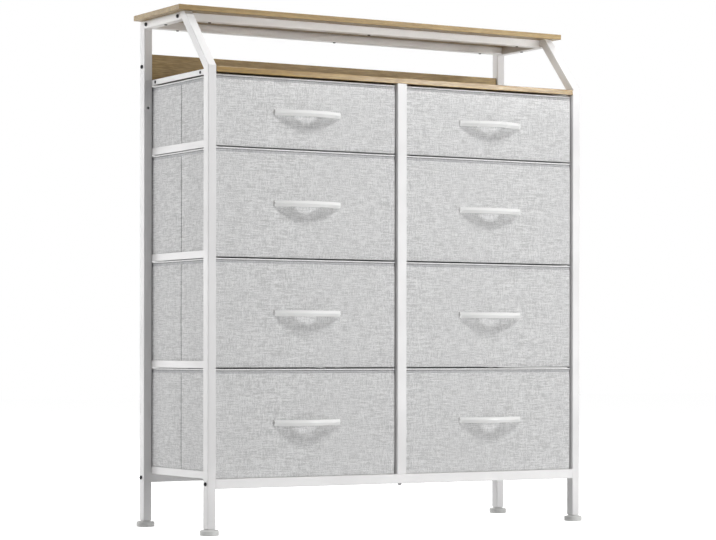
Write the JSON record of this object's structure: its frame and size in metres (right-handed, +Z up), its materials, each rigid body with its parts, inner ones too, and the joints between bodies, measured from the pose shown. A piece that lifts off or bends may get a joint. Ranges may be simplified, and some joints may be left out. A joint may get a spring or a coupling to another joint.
{
  "type": "fabric drawer dresser",
  "caption": "Upright storage dresser: steel-tube frame, wood-effect top and raised back shelf, pull-out fabric drawers with bow handles, and round levelling feet.",
  "frame": {"origin": "on the floor under the middle of the dresser's outside box, midway between its sides and midway between the front of the handles and the back of the rear feet", "axes": "+X to the right as seen from the front, +Y to the back, +Z up"},
  "size_m": [1.0386, 0.378, 1.1805],
  "materials": {
    "frame_paint": "smooth white powder coat",
    "wood_board": "matt brown wood-grain laminate",
    "black_fastener": "black oxide steel",
    "plug_plastic": "moulded grey plastic",
    "drawer_fabric": "heathered light grey linen-look fabric",
    "base_board": "thin grey fibreboard",
    "handle_plastic": "smooth white plastic",
    "handle_screw": "plain zinc",
    "foot_plastic": "moulded light grey plastic"
  },
  "bodies": {
    "frame": {"left_front_post": "frame_paint", "left_rear_post": "frame_paint", "left_shelf_strut": "frame_paint", "left_shelf_side_rail": "frame_paint", "left_board_rail": "frame_paint", "right_front_post": "frame_paint", "right_rear_post": "frame_paint", "right_shelf_strut": "frame_paint", "right_shelf_side_rail": "frame_paint", "right_board_rail": "frame_paint", "shelf_front_rail": "frame_paint", "shelf_rear_rail": "frame_paint", "bottom_front_rail": "frame_paint", "bottom_rear_rail": "frame_paint", "centre_front_post": "frame_paint", "centre_rear_post": "frame_paint", "side_runners": "frame_paint", "centre_runners": "frame_paint", "top_board": "wood_board", "back_board": "wood_board", "shelf_board": "wood_board", "frame_bolts": "black_fastener", "board_screws": "black_fastener", "post_plugs": "plug_plastic"},
    "left_drawer_1": {"left_drawer_1_shell": "drawer_fabric", "left_drawer_1_base": "base_board", "left_drawer_1_handle": "handle_plastic", "left_drawer_1_screws": "handle_screw"},
    "left_drawer_2": {"left_drawer_2_shell": "drawer_fabric", "left_drawer_2_base": "base_board", "left_drawer_2_handle": "handle_plastic", "left_drawer_2_screws": "handle_screw"},
    "left_drawer_3": {"left_drawer_3_shell": "drawer_fabric", "left_drawer_3_base": "base_board", "left_drawer_3_handle": "handle_plastic", "left_drawer_3_screws": "handle_screw"},
    "left_drawer_4": {"left_drawer_4_shell": "drawer_fabric", "left_drawer_4_base": "base_board", "left_drawer_4_handle": "handle_plastic", "left_drawer_4_screws": "handle_screw"},
    "right_drawer_1": {"right_drawer_1_shell": "drawer_fabric", "right_drawer_1_base": "base_board", "right_drawer_1_handle": "handle_plastic", "right_drawer_1_screws": "handle_screw"},
    "right_drawer_2": {"right_drawer_2_shell": "drawer_fabric", "right_drawer_2_base": "base_board", "right_drawer_2_handle": "handle_plastic", "right_drawer_2_screws": "handle_screw"},
    "right_drawer_3": {"right_drawer_3_shell": "drawer_fabric", "right_drawer_3_base": "base_board", "right_drawer_3_handle": "handle_plastic", "right_drawer_3_screws": "handle_screw"},
    "right_drawer_4": {"right_drawer_4_shell": "drawer_fabric", "right_drawer_4_base": "base_board", "right_drawer_4_handle": "handle_plastic", "right_drawer_4_screws": "handle_screw"},
    "left_front_foot": {"left_front_foot": "foot_plastic"},
    "left_rear_foot": {"left_rear_foot": "foot_plastic"},
    "right_front_foot": {"right_front_foot": "foot_plastic"},
    "right_rear_foot": {"right_rear_foot": "foot_plastic"}
  },
  "joints": [
    {"name": "left_drawer_1_slide", "type": "slide", "parent": "frame", "child": "left_drawer_1", "axis": [0, -1, 0], "range_m": [0, 0.27]},
    {"name": "left_drawer_2_slide", "type": "slide", "parent": "frame", "child": "left_drawer_2", "axis": [0, -1, 0], "range_m": [0, 0.27]},
    {"name": "left_drawer_3_slide", "type": "slide", "parent": "frame", "child": "left_drawer_3", "axis": [0, -1, 0], "range_m": [0, 0.27]},
    {"name": "left_drawer_4_slide", "type": "slide", "parent": "frame", "child": "left_drawer_4", "axis": [0, -1, 0], "range_m": [0, 0.27]},
    {"name": "right_drawer_1_slide", "type": "slide", "parent": "frame", "child": "right_drawer_1", "axis": [0, -1, 0], "range_m": [0, 0.27]},
    {"name": "right_drawer_2_slide", "type": "slide", "parent": "frame", "child": "right_drawer_2", "axis": [0, -1, 0], "range_m": [0, 0.27]},
    {"name": "right_drawer_3_slide", "type": "slide", "parent": "frame", "child": "right_drawer_3", "axis": [0, -1, 0], "range_m": [0, 0.27]},
    {"name": "right_drawer_4_slide", "type": "slide", "parent": "frame", "child": "right_drawer_4", "axis": [0, -1, 0], "range_m": [0, 0.27]},
    {"name": "left_front_foot_screw", "type": "slide", "parent": "frame", "child": "left_front_foot", "axis": [0, 0, -1], "range_m": [0, 0.01]},
    {"name": "left_rear_foot_screw", "type": "slide", "parent": "frame", "child": "left_rear_foot", "axis": [0, 0, -1], "range_m": [0, 0.01]},
    {"name": "right_front_foot_screw", "type": "slide", "parent": "frame", "child": "right_front_foot", "axis": [0, 0, -1], "range_m": [0, 0.01]},
    {"name": "right_rear_foot_screw", "type": "slide", "parent": "frame", "child": "right_rear_foot", "axis": [0, 0, -1], "range_m": [0, 0.01]}
  ]
}
